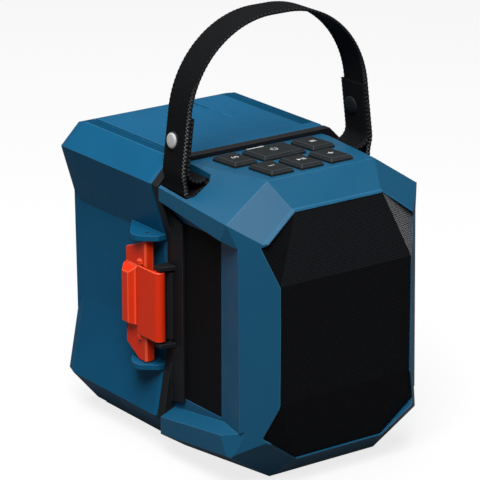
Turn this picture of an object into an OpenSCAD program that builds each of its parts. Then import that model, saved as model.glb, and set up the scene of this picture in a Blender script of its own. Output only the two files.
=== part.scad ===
// Jobsite speaker: faceted front shell, hinged battery cover, draw latch and strap handle.
// Front faces -Y, +Z is up, the floor is at Z = 0 and the middle of the depth is at Y = 0.

/* [Body] */
// Width across the shoulders of the front housing
body_w = 150; // [140:1:160]
// Height of the housings above the feet
body_h = 195.5; // [190:0.5:205]
// Depth from the grille ridge to the back of the cover
body_d = 212.65; // [206:0.05:220]
// Wall of both shells
wall = 3; // [2.4:0.1:3.4]
// Height of the rubber feet
foot_h = 2; // [1:0.5:4]

/* [Front housing] */
// Depth from the grille ridge to the black frame
front_d = 97.85; // [95:0.05:101]
// Set-in of the deck's front corners from the shoulders' sides
deck_front_in = 33; // [31:0.5:36]
// Set-in of the deck's rear corners from the shoulders' sides
deck_rear_in = 19.5; // [17:0.5:22]
// Drop of the deck from its front edge to the black frame
deck_drop = 2.9; // [2:0.1:4]
// Depth from the grille ridge back to the deck's front edge
deck_back = 27.35; // [25:0.05:29.5]
// Drop from the top to the front corner of the shoulder
shoulder_drop = 21.8; // [20:0.2:24]
// Depth from the grille ridge back to that corner
shoulder_back = 25.05; // [23:0.05:26.5]
// Run of the sloping strip under the deck, front to back
strip_run = 16.1; // [15:0.1:17]
// Drop of that strip
strip_drop = 15.65; // [14.5:0.05:16.5]
// Set-in of the front posts, across
post_in = 12.5; // [11:0.5:14]
// Set-in of the front posts, front to back
post_run = 12.9; // [12.7:0.1:14]
// How far the lower front stands ahead of the upper front
chin = 3; // [1:0.5:4]

/* [Front grille] */
// Set-in of the front opening from the shoulders' sides
open_in = 15; // [13:0.5:17]
// Height of the front opening
open_h = 162.2; // [158:0.2:164]
// Corner cut of the opening, across
open_cut_x = 25.6; // [22:0.2:28]
// Corner cut of the opening, upwards
open_cut_z = 18.8; // [16:0.2:21]
// Rim of the collar round the opening
collar_t = 1.3; // [1:0.1:1.8]
// How far the collar stands proud of the facets
collar_rise = 1; // [0.6:0.1:1.6]
// How far the posts' front edges stand ahead of the opening's upper edge
bulge = 8.6; // [7.5:0.1:9.6]
// Set-back of the grille behind the posts' edges
lip = 0.6; // [0.4:0.1:1]
// Width taken off the opening at each side to leave the flat facet of the grille
flat_in = 8.5; // [7:0.1:10]
// Height of the flat facet of the grille
flat_h = 77.2; // [70:0.2:82]
// Height of that facet's middle above the middle of the housing
flat_lift = -0.8; // [-3:0.2:3]
// Sheet of the grilles
grille_t = 1.5; // [1:0.1:2]

/* [Side recess] */
// Depth of the recess floors under the shoulders' sides
waist_in = 11; // [9:0.5:13]
// Depth from the grille ridge back to the foot of the post's side facet
recess_back = 43.65; // [41:0.05:46.5]
// Half height of the recess along its floor, at the front
recess_h = 61.5; // [58:0.5:64]
// Height of the shoulder's side band at the front
band_front = 11.8; // [10:0.2:13]
// Height of the shoulder's side band at the frame
band_rear = 8.6; // [7:0.2:10]

/* [Black frame] */
// Thickness of the frame, front to back
frame_t = 6.7; // [6:0.1:8]
// Thickness of the bulkhead in it
bulkhead_t = 3.2; // [2.6:0.1:4]
// Width of the rim that meets the cover
rim_w = 6; // [5:0.5:8]
// Forward reach of the frame's side plates
side_plate_d = 10; // [8:0.5:12]

/* [Rear cover] */
// How far the cover's widest edges stand outside the shoulders
cover_over = 1; // [0:0.5:2]
// Width of the top chamfers
cover_chamfer_w = 15.25; // [13:0.25:17]
// Width of the bottom chamfers
cover_base_in = 22; // [19:0.5:25]
// Drop of the top chamfers
cover_chamfer = 15; // [13:0.5:17]
// Height of the waist's upper edge above the base
waist_top = 141; // [136:1:145]
// Height of the waist's lower edge above the base
waist_low = 76; // [72:1:80]
// Height of the lower widest edge above the base
flare_h = 22; // [20:0.5:24]
// Set-in of those lower edges from the upper ones
flare_in = 2.8; // [2:0.1:4]
// Length of the chamfers at the back
back_cut = 9; // [7:0.5:11]
// Depth of the chamfers at the back of the top
back_step = 2.4; // [1.8:0.1:3]
// Depth of those at the back of the upper sides
back_step_side = 1.6; // [1:0.1:2.4]
// Depth of those at the back of the lower sides
back_step_base = 2.5; // [1.8:0.1:3]
// Width of the two grooves along the top
groove_w = 9.5; // [8:0.5:11]
// Depth of those grooves
groove_t = 1.2; // [0.8:0.1:1.6]
// Length of the bevel along the cover's front rim
rim_cut = 3; // [2:0.5:4]
// Depth of that bevel
rim_step = 1.3; // [0.8:0.1:1.6]
// Width of the ramp that sinks towards the back of the top
scoop_w = 48; // [40:1:56]
// Length of that ramp
scoop_l = 64; // [54:1:74]
// Depth of the ramp at the back
scoop_t = 1.8; // [1.2:0.1:2]
// Gap between frame and cover
seam_gap = 0.3; // [0.2:0.05:0.5]

/* [Hinge and latch] */
// How far the hinge barrel and the latch ridge stand outside the cover
latch_out = 5.5; // [5:0.5:7]
// Radius of the hinge barrel
barrel_r = 4; // [3.5:0.1:4.5]
// Radius of the hinge and latch pins
pin_r = 1.5; // [1.2:0.1:1.8]
// Radius of the link's pin
link_pin_r = 1.1; // [0.9:0.1:1.3]
// Radial running clearance of the pins
run_gap = 0.05; // [0.03:0.01:0.1]
// Height of one fixed hinge knuckle
knuckle_h = 12; // [9:0.5:15]
// Height of the moving hinge knuckle
swing_h = 19.2; // [15:0.2:24]
// Height of the latch handle
handle_h = 82.8; // [78:0.2:86]
// Reach of the latch handle behind its pin
handle_l = 20; // [18:0.5:22]
// Thickness of the guard ribs
rib_t = 3.5; // [2.5:0.5:5]
// Height of the link plate
link_h = 47; // [42:1:52]
// Reach of the link plate ahead of its pin
link_l = 18.4; // [17:0.1:20]
// Thickness of the link plate
link_t = 1.9; // [1.6:0.1:2]
// Radius of the link's knuckle round its pin
link_knuckle_r = 2.1; // [1.9:0.1:2.2]
// Radius of the link's rolled front edge
bead_r = 4; // [3.4:0.1:4.4]

/* [Strap] */
// Width of the webbing
strap_w = 24; // [20:0.5:25]
// Thickness of one layer of webbing
strap_t = 2; // [1.6:0.1:2.4]
// Set-in of the strap's feet from the shoulders' sides
strap_in = 2; // [2:0.1:3]
// Height of the top of the strap above the body
strap_rise = 93; // [85:1:103]
// Radius of the strap's arch to its outer face
strap_r = 65; // [60:0.5:67]
// Width of the flat run at the top of the strap
strap_flat = 11.4; // [6:0.2:16]
// Lean of the strap's legs, spreading downwards, in degrees
strap_lean = 7; // [4:0.5:8]
// Width by which the doubled tails exceed the strap
tail_more = 1; // [0:0.5:2]
// Depth from the black frame forward to the strap's middle
strap_ahead = 15.85; // [15.5:0.05:17]
// Radius of the rods in the notches
rod_r = 1.5; // [1.2:0.1:1.7]
// Radius of the rivet caps
rivet_r = 6; // [5:0.5:7]

/* [Keys] */
// Size of a key, front to back
key_d = 24.5; // [22:0.5:26]
// Width of a small key
key_w = 17.5; // [15:0.5:18.5]
// Width of the power key
power_w = 33; // [28:0.5:35]
// Pitch between the two rows of keys
row_pitch = 31; // [29:0.5:33]
// Height of the keys above the deck
key_h = 3.2; // [2:0.1:4]
// Bevel of the key tops
key_bevel = 1.6; // [1:0.1:2]
// Travel of a key
key_travel = 1.2; // [0.8:0.1:1.5]
// Clearance round a key
key_gap = 0.4; // [0.3:0.05:0.6]

/* [Inside] */
// Depth of the key board, front to back
key_board_d = 66; // [60:1:68]
// Height of the main board
main_board_h = 66; // [58:1:70]
// Radius of the woofer's cut-out
woofer_r = 42; // [38:1:43]
// Thickness of the baffle
baffle_t = 4; // [3:0.5:5]
// Width of the battery pack
pack_w = 75; // [70:1:80]
// Height of the battery pack
pack_h = 116; // [110:1:122]
// Depth of the battery pack
pack_d = 62; // [56:1:68]

/* [Hidden] */
$fn = 48;
big = 600;
touch = 0.02;
y_ridge = -body_d / 2;
y_back = body_d / 2;
z_top = foot_h + body_h;
z_mid = foot_h + body_h / 2;
// Widths that follow the width of the body
deck_front_w = body_w - 2 * deck_front_in;
deck_rear_w = body_w - 2 * deck_rear_in;
open_w = body_w - 2 * open_in;
flat_w = open_w - 2 * flat_in;
waist = body_w / 2 - waist_in;
cover_w = body_w + 2 * cover_over;
cover_top_w = cover_w - 2 * cover_chamfer_w;
cover_waist_w = 2 * waist;
cover_base_w = cover_w - 2 * cover_base_in;
reach = cover_w / 2 + latch_out;
strap_half = body_w / 2 - strap_in;
y_frame = y_ridge + front_d;
y_rim = y_frame + frame_t;
y_cover = y_rim + seam_gap;
// Corners of the front housing on the +X side
deck_front = [deck_front_w / 2, y_ridge + deck_back, z_top];
deck_rear = [deck_rear_w / 2, y_frame, z_top - deck_drop];
shoulder = [body_w / 2, y_ridge + shoulder_back, z_top - shoulder_drop];
strip_low = [open_w / 2 - open_cut_x, deck_front.y - strip_run, z_top - strip_drop];
post = [shoulder.x - post_in, shoulder.y - post_run, z_top - shoulder_drop - open_cut_z * 0.7];
y_collar = y_ridge + bulge;
// Lower corners mirror the upper ones and stand ahead by the chin
function low(p) = [p.x, p.y - chin, 2 * z_mid - p.z];
function flip(p) = [p.x, p.y, 2 * z_mid - p.z];
function side(p) = [-p.x, p.y, p.z];
// Side recess on the +X side
recess_foot = [waist, y_ridge + recess_back, z_mid];
recess_lip = [post.x + post_in * 0.585, shoulder.y - post_run * 0.415, z_mid];
band_low = [shoulder.x, shoulder.y + 6.8, shoulder.z - band_front];
shoulder_rise = 5.75;
band_low_rear = [shoulder.x, y_frame, shoulder.z + shoulder_rise - band_rear];
recess_roof = [waist, recess_foot.y, z_mid + recess_h];
lip_top = [recess_lip.x, recess_lip.y, height_on(band_low, recess_roof, band_low_rear, recess_lip.x, recess_lip.y)];
// Deck frame: origin at the middle of the deck, +Z along its normal
deck_len = deck_rear.y - deck_front.y;
deck_tilt = atan2(deck_drop, deck_len);
deck_mid = [0, (deck_front.y + deck_rear.y) / 2, z_top - deck_drop / 2];
// Columns and rows of keys, [x, row, width]; the front row sits a little to one side
rear_x = (power_w + key_w) / 2 + 5.5;
front_x = key_w + 5.8;
front_shift = -2;
key_list = [
  ["key_pair", -rear_x, 1, key_w],
  ["key_power", 0, 1, power_w],
  ["key_mode", rear_x, 1, key_w],
  ["key_volume_down", front_shift - front_x, -1, key_w],
  ["key_play", front_shift, -1, key_w],
  ["key_volume_up", front_shift + front_x, -1, key_w]
];
rows_mid = -1.2;
key_foot = 1.2;
key_drop = 0.3;
switch_h = 3;
board_t = 1.6;
key_base = -wall - key_drop - key_foot;
board_top = key_base - key_travel - key_drop - switch_h;
// Hinge on +X, latch on -X
hinge = [reach - barrel_r, y_cover];
latch_pin_at = [-(reach - 9.5), y_cover + 10.25];
handle_face = latch_pin_at.x - 4;
link_pin_at = [handle_face, latch_pin_at.y + 2.85];
link_face = link_pin_at.x - link_knuckle_r;
bead_at = [link_face + bead_r, link_pin_at.y - link_l];
latch_z = z_mid + 1.25;
link_z = z_mid + 1.75;
pocket_floor = -(cover_waist_w / 2 + 0.2);
// Strap
strap_y = y_frame - strap_ahead;
strap_mid_z = z_top + strap_rise - strap_r;
tail_w = strap_w + tail_more;
// Half width of the leaning leg's face at height z, set in by d
function leg_x(d, z) = strap_flat / 2 + (strap_r - d) / cos(strap_lean) + (strap_mid_z - z) * tan(strap_lean);
swing_z = z_top - 7.5;
swing_r = tail_w / 2 + 0.4;
swing_gap = 0.4;
tail_top = swing_z + 41.5;
rivet_z = swing_z + 25;
rivet_shift = 3.2;
washer_t = 0.6;
rod_at = [strap_half - 15.2, z_top - 9.3];
loop_r = rod_r + 0.15 + 0.8 * strap_t;
notch_out = strap_half + 0.4;
notch_in = rod_at.x - loop_r - 0.5;
notch_floor = z_top - 20.5;
notch_front = strap_y - tail_w / 2 - 3.6;
boss_r = 4;
screw_r = 1.4;
screw_head_r = 3;
boss_low = [44, foot_h + rim_w + screw_head_r + 0.6];
boss_high = [notch_in - 2, notch_floor - wall - boss_r + 0.5];

// Block that fills the outer side of the plane through a, b and c, set out by gap
module beyond(a, b, c, gap = 0) {
  n = cross(b - a, c - a);
  u = n / norm(n);
  translate(a + gap * u)
    rotate([0, acos(u.z), atan2(u.y, u.x)])
      translate([-big / 2, -big / 2, 0])
        cube(big);
}

// Both sides of a shape on +X
module both() {
  children();
  mirror([1, 0, 0]) children();
}

// Profile drawn in X and Z, extruded from y0 to y1
module along_y(y0, y1) {
  translate([0, y1, 0]) rotate([90, 0, 0]) linear_extrude(y1 - y0) children();
}

// Profile drawn in Y and Z, extruded from x0 to x1
module along_x(x0, x1) {
  translate([x0, 0, 0]) rotate([90, 0, 90]) linear_extrude(x1 - x0) children();
}

// Round bar along Y through a point given as [x, z]
module rod_y(p, r, y0, y1) {
  translate([p.x, y1, p.y]) rotate([90, 0, 0]) cylinder(r = r, h = y1 - y0);
}

// Mitred inset of a closed outline that runs clockwise
function turn(v) = [v.y, -v.x] / norm(v);
function meet(p, u, q, v) = p + u * ((q - p).x * v.y - (q - p).y * v.x) / (u.x * v.y - u.y * v.x);
function inset(pts, d) = let (n = len(pts)) [for (i = [0 : n - 1])
  let (a = pts[(i + n - 1) % n], b = pts[i], c = pts[(i + 1) % n])
  meet(a + d * turn(b - a), b - a, b + d * turn(c - b), c - b)];

// Outline of the front opening in X and Z: it narrows to the flat facet between the posts
corner_x = open_w / 2 - open_cut_x;
corner_z = open_h / 2 - open_cut_z;
opening_half = [
  [corner_x, open_h / 2], [open_w / 2, corner_z], [flat_w / 2, flat_lift + flat_h / 2],
  [flat_w / 2, flat_lift - flat_h / 2], [open_w / 2, -corner_z], [corner_x, -open_h / 2]
];
function whole(half) = concat(half, [for (i = [len(half) - 1 : -1 : 0]) [-half[i].x, half[i].y]]);
module opening_2d(grow) {
  translate([0, z_mid]) polygon(inset(whole(opening_half), -grow));
}

// Outline of the rear cover and the frame in X and Z
cover_half = [
  [cover_top_w / 2, z_top], [cover_w / 2, z_top - cover_chamfer], [cover_waist_w / 2, foot_h + waist_top],
  [cover_waist_w / 2 - 0.8, foot_h + waist_low], [cover_w / 2 - flare_in, foot_h + flare_h], [cover_base_w / 2, foot_h]
];
module cover_2d(d) {
  polygon(inset(whole(cover_half), d));
}

// Solid of the front housing's facets, every facet set in by d and the posts' facets by e
module gem(d, e) {
  difference() {
    translate([-body_w / 2 + d, y_ridge + max(d, 0), foot_h + d])
      cube([body_w - 2 * d, front_d - max(d, 0) + (d > 0 ? 1 : 0), 2 * body_h]);
    beyond(side(deck_front), deck_front, deck_rear, -d);
    beyond(side(deck_front), strip_low, deck_front, -d);
    beyond(side(low(deck_front)), low(deck_front), low(strip_low), -d);
    both() {
      beyond(deck_front, shoulder, deck_rear, -d);
      beyond(deck_front, strip_low, shoulder, -d);
      beyond(shoulder, post, low(shoulder), -e);
      beyond(low(deck_front), low(shoulder), low(strip_low), -d);
      beyond(low(deck_front), flip(deck_rear) - [0, 0, deck_drop], low(shoulder), -d);
    }
  }
}

// Height at [x, y] of the plane through a, b and c
function height_on(a, b, c, x, y) = let (n = cross(b - a, c - a)) a.z - (n.x * (x - a.x) + n.y * (y - a.y)) / n.z;

// Room of one side recess, every face set out by d into the housing
module recess(d) {
  intersection() {
    translate([waist - d, y_ridge, 0]) cube([body_w, front_d + 1, 2 * body_h]);
    beyond(recess_foot, recess_foot + [0, 0, 10], recess_lip, -d);
    beyond(band_low, recess_roof, band_low_rear, -d);
    beyond(flip(band_low), flip(band_low_rear), flip(recess_roof), -d);
  }
  // Bevels that lead from the shoulders' corners down to the post's edge
  intersection() {
    beyond(shoulder, lip_top, band_low, -d);
    beyond(band_low, band_low_rear, recess_roof, -d - 0.5);
  }
  intersection() {
    beyond(flip(shoulder), flip(band_low), flip(lip_top), -d);
    beyond(flip(band_low), flip(recess_roof), flip(band_low_rear), -d - 0.5);
  }
}

// Room of one strap notch, every wall set out by d
module notch(d) {
  translate([0, 0, notch_floor - d])
    linear_extrude(big)
      polygon([[notch_out + d, y_frame + 1], [notch_out + d, notch_front + 4 - d], [notch_out - 4, notch_front - d],
        [notch_in + 4.5, notch_front - d], [notch_in - d, notch_front + 4.5], [notch_in - d, y_frame + 1]]);
}

// Window behind a side grille
grille_y0 = recess_foot.y + 2;
grille_y1 = y_frame - side_plate_d - 2;
grille_z0 = z_mid - recess_h + 2;
grille_z1 = z_mid + recess_h - 2;
ledge = 4;
module side_window(d, x0, x1) {
  along_x(x0, x1)
    polygon([[grille_y0 + d, grille_z0 + d], [grille_y1 - d, grille_z0 + d],
      [grille_y1 - d, grille_z1 - d], [grille_y0 + d, grille_z1 - d]]);
}

module on_deck() {
  translate(deck_mid) rotate([-deck_tilt, 0, 0]) children();
}

module key_block(w, grow, z0, z1) {
  translate([-w / 2 - grow, -key_d / 2 - grow, z0]) cube([w + 2 * grow, key_d + 2 * grow, z1 - z0]);
}

module at_key(i) {
  k = key_list[i];
  translate([k[1], rows_mid + k[2] * row_pitch / 2, 0]) children();
}

module boss_places() {
  for (s = [-1, 1])
    for (p = [boss_low, boss_high])
      translate([s * p.x, 0, p.y]) children();
}

board_posts = [[-44, 27], [44, 27], [-30, -33], [30, -33]];
baffle_y = y_collar + 8;
screw_depth = 12;

module front_housing() {
  color("#2d678f") difference() {
    union() {
      difference() {
        union() {
          gem(0, 0);
          intersection() {
            along_y(y_ridge + touch, baffle_y) opening_2d(collar_t);
            gem(-collar_rise, touch);
          }
        }
        both() recess(0);
        both() notch(0);
        // Hollow, with the recess and notch walls left standing
        difference() {
          gem(wall, wall);
          both() recess(wall);
          both() notch(wall);
          along_y(y_ridge - 1, baffle_y) opening_2d(collar_t + 1);
        }
      }
      boss_places() translate([0, y_frame, 0]) rotate([90, 0, 0]) cylinder(r = boss_r, h = screw_depth + 3);
      both() translate([boss_low.x - boss_r / 2, y_frame - screw_depth - 3, foot_h + wall / 2])
        cube([boss_r, screw_depth + 3, boss_low.y - foot_h - wall / 2 - screw_r - 1]);
      on_deck() for (p = board_posts)
        translate([p.x, p.y, board_top]) cylinder(r = 2, h = -board_top - wall / 2);
    }
    along_y(y_ridge - 1, baffle_y + 3) opening_2d(0);
    both() {
      side_window(0, waist - grille_t, waist + 1);
      side_window(ledge, waist - wall - 1, waist + 1);
      rod_y(rod_at, rod_r, notch_front - 2, y_frame + 1);
    }
    on_deck() for (i = [0 : len(key_list) - 1]) at_key(i) key_block(key_list[i][3], key_gap, -wall - 8, 9);
    boss_places() translate([0, y_frame + 1, 0]) rotate([90, 0, 0]) cylinder(r = screw_r, h = screw_depth);
  }
}

// Depth of the posts' facet at [x, z]
function post_y(x, z) = let (n = cross(post - shoulder, low(shoulder) - shoulder))
  shoulder.y - (n.x * (x - shoulder.x) + n.z * (z - shoulder.z)) / n.y;

// Gem of the front grille, every facet set in by d
grille_gap = 0.3;
module grille_gem(d, back) {
  top_in = [corner_x, y_collar + lip, z_mid + open_h / 2];
  top_out = [open_w / 2, post_y(open_w / 2, z_mid + corner_z) + lip, z_mid + corner_z];
  ridge_top = [flat_w / 2, y_ridge + lip, z_mid + flat_lift + flat_h / 2];
  low_in = [corner_x, y_collar + lip - chin / 2, z_mid - open_h / 2];
  low_out = [open_w / 2, post_y(open_w / 2, z_mid - corner_z) + lip, z_mid - corner_z];
  ridge_low = [flat_w / 2, y_ridge + lip, z_mid + flat_lift - flat_h / 2];
  difference() {
    along_y(y_ridge + lip + d, back) opening_2d(-grille_gap - d);
    beyond(side(top_in), ridge_top, top_in, -d);
    beyond(side(low_in), low_in, ridge_low, -d);
    both() {
      beyond(top_in, ridge_top, top_out, -d);
      beyond(low_in, low_out, ridge_low, -d);
    }
  }
}

module front_grille() {
  color("#17181a") difference() {
    grille_gem(0, baffle_y);
    grille_gem(grille_t, baffle_y + 1);
  }
}

module side_grille(s) {
  color("#141517") mirror([s < 0 ? 1 : 0, 0, 0])
    side_window(grille_gap, waist - grille_t + seat, waist);
}
module side_grille_left() { side_grille(-1); }
module side_grille_right() { side_grille(1); }

// Clearance between pieces that seat on one another
seat = 0.05;
plate_lap = 0.8;
seal_in = 1.6;
seal_w = 2.4;
seal_t = 2;
module mid_frame() {
  arm_y0 = y_frame + 0.4;
  color("#1d1e20") difference() {
    union() {
      along_y(y_frame + seat, y_frame + bulkhead_t) cover_2d(0);
      along_y(y_frame + seat, y_rim) difference() {
        cover_2d(0);
        cover_2d(rim_w);
      }
      both() along_x(waist + seat, waist + 2)
        polygon([[grille_y1 - plate_lap, grille_z0 - 2], [y_frame + 1, grille_z0 - 5],
          [y_frame + 1, grille_z1 + 4], [grille_y1 - plate_lap, grille_z1 - 0.5]]);
      for (s = [-1, 1])
        translate([0, 0, z_mid + s * (swing_h / 2 + 0.4 + knuckle_h / 2) - knuckle_h / 2]) {
          translate(hinge) cylinder(r = barrel_r, h = knuckle_h);
          linear_extrude(knuckle_h)
            polygon([[cover_waist_w / 2 - 3, arm_y0], [cover_waist_w / 2 - 3, y_rim - 0.1],
              [hinge.x - barrel_r + 0.4, y_rim - 0.1], [hinge.x + 0.5, hinge.y - barrel_r + 0.1],
              [hinge.x - 4, arm_y0]]);
        }
      for (x = [-38, 38])
        for (z = [foot_h + 34, foot_h + 84])
          rod_y([x, z], 3, y_frame - 8, y_frame + 1);
    }
    along_y(y_rim - seal_t, y_rim + 1) difference() {
      cover_2d(seal_in);
      cover_2d(seal_in + seal_w);
    }
    translate([hinge.x, hinge.y, z_mid - swing_h / 2 - knuckle_h - 2])
      cylinder(r = pin_r + 0.03, h = swing_h + 2 * knuckle_h + 4);
    boss_places() translate([0, y_rim + 1, 0]) rotate([90, 0, 0]) cylinder(r = screw_r + 0.2, h = 3 * frame_t);
  }
}

module cover_seal() {
  color("#26282a") along_y(y_rim - seal_t, y_rim) difference() {
    cover_2d(seal_in);
    cover_2d(seal_in + seal_w);
  }
}

// Half outlines of the cover's three convex parts: shoulders, waist and base
function along(a, b, z) = [a.x + (b.x - a.x) * (z - a.y) / (b.y - a.y), z];
waist_mid = foot_h + (waist_top + waist_low) / 2;
// Depth of each part's back chamfers, edge by edge
cover_steps = [[back_step, back_step_side], [0], [back_step_base, back_step_base]];
cover_parts = [
  [cover_half[0], cover_half[1], along(cover_half[1], cover_half[2], waist_mid)],
  [along(cover_half[2], cover_half[3], foot_h + waist_top + 20), along(cover_half[2], cover_half[3], foot_h + waist_low - 20)],
  [along(cover_half[4], cover_half[3], waist_mid), cover_half[4], cover_half[5]]
];

// Solid of the rear cover with its back chamfers, every face set in by d
module cover_solid(d) {
  y_cut = y_back - back_cut;
  for (k = [0 : len(cover_parts) - 1]) {
    half = cover_parts[k];
    difference() {
      along_y(y_cover - (d > 0 ? 1 : 0), y_back - d) polygon(inset(whole(half), d));
      beyond([-1, y_cut, z_top], [1, y_cut, z_top], [0, y_back, z_top - back_step], -d);
      both() for (i = [0 : len(half) - 2]) {
        a = [half[i].x, y_cut, half[i].y];
        b = [half[i + 1].x, y_cut, half[i + 1].y];
        out = cross(b - a, [0, 1, 0]);
        beyond(a, b, (a + b) / 2 + [0, back_cut, 0] - cover_steps[k][i] * out / norm(out), -d);
        // Front rim's bevel, outside only
        e = [0, y_cover + rim_cut - y_cut, 0];
        if (d == 0)
          beyond(b + e, a + e, (a + b) / 2 + e - [0, rim_cut, 0] - rim_step * out / norm(out));
      }
    }
  }
}

rib_plan = [[pocket_floor + 1.5, y_cover + 41], [-reach + 3, y_cover + 20.5], [-reach + 0.9, y_cover + 17],
  [-reach, y_cover + 13.5], [-reach + 0.3, y_cover + 10.4], [-reach + 1.8, y_cover + 7.4],
  [-reach + 10.8, y_cover + 0.2], [pocket_floor + 1.5, y_cover + 0.2]];
rib_gap = 0.6;
module rear_cover() {
  pocket_h = handle_h + 2 * rib_gap;
  color("#1f5d86") difference() {
    union() {
      difference() {
        cover_solid(0);
        // Hollow, with the latch pocket's wall left standing
        difference() {
          cover_solid(wall);
          translate([-big + pocket_floor + wall, y_cover - 2, latch_z - pocket_h / 2 - wall])
            cube([big, 40 + wall, pocket_h + 2 * wall]);
        }
        translate([-big + pocket_floor, y_cover - 2, latch_z - pocket_h / 2]) cube([big, 40, pocket_h]);
        both() translate([cover_top_w / 2 - groove_w - 0.5, y_cover + 10, z_top - groove_t])
          cube([groove_w, body_d, 10]);
        along_x(-scoop_w / 2, scoop_w / 2)
          polygon([[y_back - scoop_l, z_top], [y_back + 1, z_top - scoop_t - scoop_t / scoop_l],
            [y_back + 1, z_top + 1], [y_back - scoop_l, z_top + 1]]);
      }
      for (s = [-1, 1])
        translate([0, 0, latch_z + s * (pocket_h + rib_t) / 2 - rib_t / 2])
          linear_extrude(rib_t) polygon(rib_plan);
      translate([0, 0, z_mid - swing_h / 2]) {
        translate(hinge) cylinder(r = barrel_r, h = swing_h);
        linear_extrude(swing_h)
          polygon([[cover_waist_w / 2 - 1.5, y_cover], [cover_waist_w / 2 - 1.5, y_cover + 11],
            [hinge.x - 6, hinge.y + 6], [hinge.x + 1, hinge.y + barrel_r - 0.15], [hinge.x - barrel_r + 0.1, hinge.y]]);
      }
    }
    translate([hinge.x, hinge.y, z_mid - swing_h]) cylinder(r = pin_r + run_gap, h = 2 * swing_h);
    translate([latch_pin_at.x, latch_pin_at.y, latch_z - pocket_h / 2 - rib_t - 1])
      cylinder(r = pin_r + 0.03, h = pocket_h + 2 * rib_t + 2);
  }
}

module hinge_pin() {
  h = swing_h + 0.8 + 2 * knuckle_h;
  color("silver") translate([hinge.x, hinge.y, z_mid - h / 2]) cylinder(r = pin_r, h = h);
}

module latch_catch() {
  x0 = -(waist + 2);
  x1 = bead_at.x + bead_r + 0.5;
  ear_x = bead_at.x - bead_r / 2;
  color("#1a1b1d") {
    translate([0, 0, link_z - link_h / 2 + 1])
      linear_extrude(link_h - 2)
        polygon([[x0, bead_at.y - bead_r - 1], [x0, y_rim - 1.5], [x1 + 1.5, y_rim - 1.5], [x1, bead_at.y + 1],
          [x1, bead_at.y - bead_r + 2], [x1 + 2, bead_at.y - bead_r - 1]]);
    for (s = [-1, 1])
      translate([0, 0, link_z + s * (link_h / 2 + 2.6) - 1.3])
        linear_extrude(2.6)
          polygon([[x0, bead_at.y - bead_r - 3], [x0, y_rim - 1.5], [ear_x, bead_at.y + 2],
            [ear_x, bead_at.y - bead_r]]);
    along_x(x0 - 2.2, x0)
      translate([bead_at.y - bead_r, link_z - link_h / 2 - 3.9]) square([bead_r + 3, link_h + 7.8]);
  }
}

module latch_handle() {
  p = latch_pin_at;
  inner = p.x + 5.2;
  y0 = p.y - 2.8;
  y1 = p.y + handle_l;
  z0 = latch_z - handle_h / 2;
  z1 = latch_z + handle_h / 2;
  ridge_y = link_pin_at.y + link_knuckle_r + 0.5;
  ridge_top = link_z + link_h / 2 - 1.5;
  ridge_low = link_z - link_h / 2 + 6.5;
  slot_h = link_h + 0.8;
  color("#d8351a") difference() {
    union() {
      intersection() {
        translate([0, 0, z0])
          linear_extrude(handle_h)
            polygon([[handle_face, y0 + 1], [handle_face + 0.8, y0], [p.x + 2, y0], [inner - 1.4, y0 + 1.2],
              [inner, y0 + 3], [inner, p.y + 4], [inner - 1.5, y1 - 3], [inner - 3.5, y1],
              [handle_face + 1, y1], [handle_face, y1 - 1]]);
        along_x(-2 * reach, 0)
          polygon([[y0, z0], [p.y + 5, z0], [y1 + 1, z0 + 10], [y1 + 1, z1 - 10.5], [y1 - 2, z1 - 8.5],
            [p.y + 10, z1 - 5.5], [p.y + 2, z1 - 2], [y0, z1]]);
      }
      // Finger ridge with sloping ends
      intersection() {
        translate([0, 0, ridge_low - 3])
          linear_extrude(ridge_top - ridge_low + 6)
            polygon([[handle_face + 1, ridge_y], [handle_face - 2, ridge_y + 0.6], [-reach + 0.8, ridge_y + 3],
              [-reach, ridge_y + 4], [-reach, y1 - 4], [handle_face - 2, y1 - 0.5], [handle_face + 1, y1 - 0.5]]);
        along_y(p.y, y1)
          polygon([[handle_face + 2, ridge_top], [handle_face - 0.5, ridge_top], [-reach, ridge_top - 4.5],
            [-reach, ridge_low], [handle_face - 0.5, ridge_low - 1.5], [handle_face + 2, ridge_low - 1.5]]);
      }
      // Bosses that cover the link pin's ends
      for (s = [-1, 1])
        translate([link_pin_at.x, link_pin_at.y, link_z + s * (slot_h / 2 + 1.6) - 1.6]) cylinder(r = link_knuckle_r, h = 3.2);
    }
    translate([p.x, p.y, 0]) cylinder(r = pin_r + run_gap, h = 2 * body_h);
    translate([link_pin_at.x, link_pin_at.y, link_z - slot_h / 2]) cylinder(r = link_knuckle_r + 0.4, h = slot_h);
    translate([link_pin_at.x, link_pin_at.y, link_z - link_h / 2 - 2.6]) cylinder(r = link_pin_r + 0.03, h = link_h + 5.2);
  }
}

module latch_link() {
  p = link_pin_at;
  color("#e33a1c") translate([0, 0, link_z - link_h / 2]) difference() {
    union() {
      linear_extrude(link_h)
        translate([link_face, bead_at.y]) square([link_t, p.y - bead_at.y]);
      translate([p.x, p.y, 0]) cylinder(r = link_knuckle_r, h = link_h);
      translate([bead_at.x, bead_at.y, 0]) cylinder(r = bead_r, h = link_h);
    }
    translate([p.x, p.y, -1]) cylinder(r = link_pin_r + run_gap, h = link_h + 2);
  }
}

module latch_pin() {
  h = handle_h + 2 * (rib_gap + rib_t);
  color("silver") translate([latch_pin_at.x, latch_pin_at.y, latch_z - h / 2]) cylinder(r = pin_r, h = h);
}

module link_pin() {
  color("silver") translate([link_pin_at.x, link_pin_at.y, link_z - link_h / 2 - 2.4])
    cylinder(r = link_pin_r, h = link_h + 4.8);
}

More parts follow.
